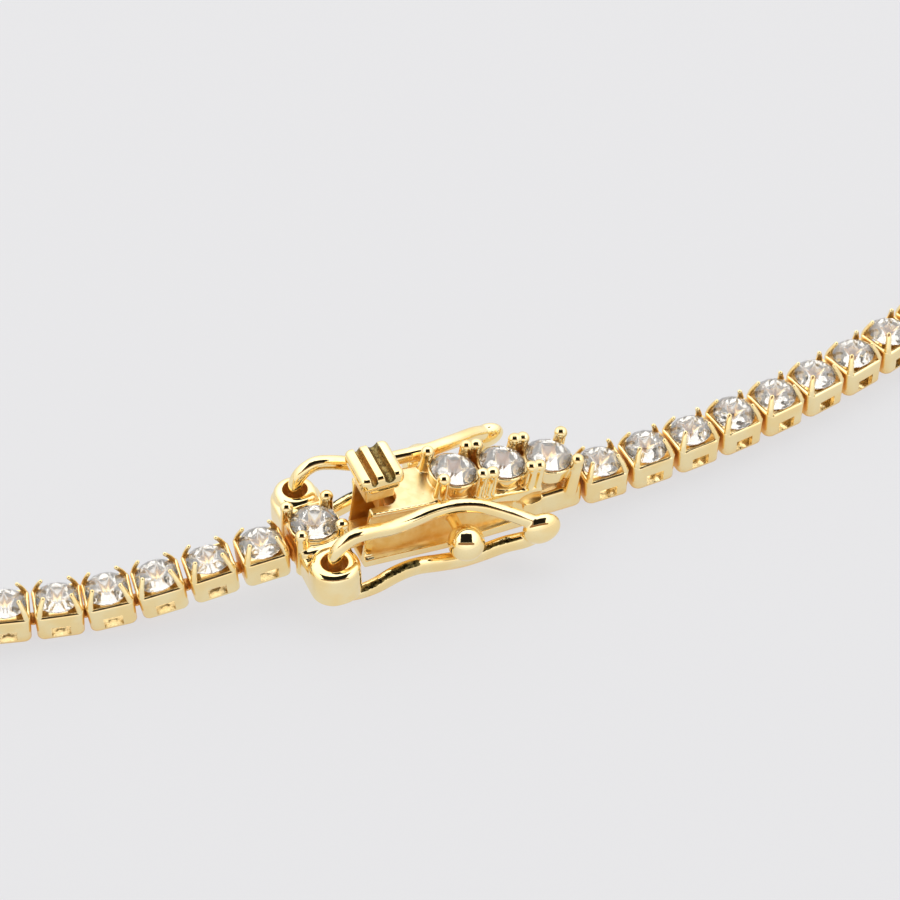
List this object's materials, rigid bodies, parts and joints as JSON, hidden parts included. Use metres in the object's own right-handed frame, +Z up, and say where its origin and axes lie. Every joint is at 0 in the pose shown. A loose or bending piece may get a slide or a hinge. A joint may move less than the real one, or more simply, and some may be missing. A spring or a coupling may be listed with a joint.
{
  "type": "tennis necklace",
  "caption": "Closed run of small square-basket links set with round clear stones, joined by a box clasp with a thumb trigger and hinged safety catches, lying flat.",
  "frame": {"origin": "on the ground, under the middle of the box round the whole necklace", "axes": "+X along the clasp from the end bar towards the box, +Y from the clasp across the loop, +Z up, the way the stones face"},
  "size_m": [0.1422, 0.1364, 0.0066],
  "materials": {
    "chain": "polished pale yellow gold plate, set with clear stones",
    "end_bar": "polished pale yellow gold plate",
    "trigger": "polished pale yellow gold plate",
    "clasp_box": "polished pale yellow gold plate",
    "safety_catch_front": "polished pale yellow gold plate",
    "safety_catch_back": "polished pale yellow gold plate",
    "end_bar_stone": "clear faceted crystal",
    "box_stone_1": "clear faceted crystal",
    "box_stone_2": "clear faceted crystal",
    "box_stone_3": "clear faceted crystal"
  },
  "bodies": {
    "necklace": {"chain": "chain", "end_bar": "end_bar", "end_bar_stone": "end_bar_stone", "clasp_box": "clasp_box", "box_stone_1": "box_stone_1", "box_stone_2": "box_stone_2", "box_stone_3": "box_stone_3"},
    "trigger": {"trigger": "trigger"},
    "front_catch": {"safety_catch_front": "safety_catch_front"},
    "back_catch": {"safety_catch_back": "safety_catch_back"}
  },
  "joints": [
    {"name": "front_catch_hinge", "type": "hinge", "parent": "necklace", "child": "front_catch", "pos_m": [-0.00752, -0.06683, 0.0022], "axis": [0, 0, 1], "range_deg": [-165, 0]},
    {"name": "back_catch_hinge", "type": "hinge", "parent": "necklace", "child": "back_catch", "pos_m": [-0.00752, -0.06115, 0.0022], "axis": [0, 0, 1], "range_deg": [0, 165]},
    {"name": "trigger_press", "type": "hinge", "parent": "necklace", "child": "trigger", "pos_m": [-0.00157, -0.06399, 0.0022], "axis": [0, -1, 0], "range_deg": [0, 20], "stiffness_Nm_per_rad": 0.05}
  ]
}
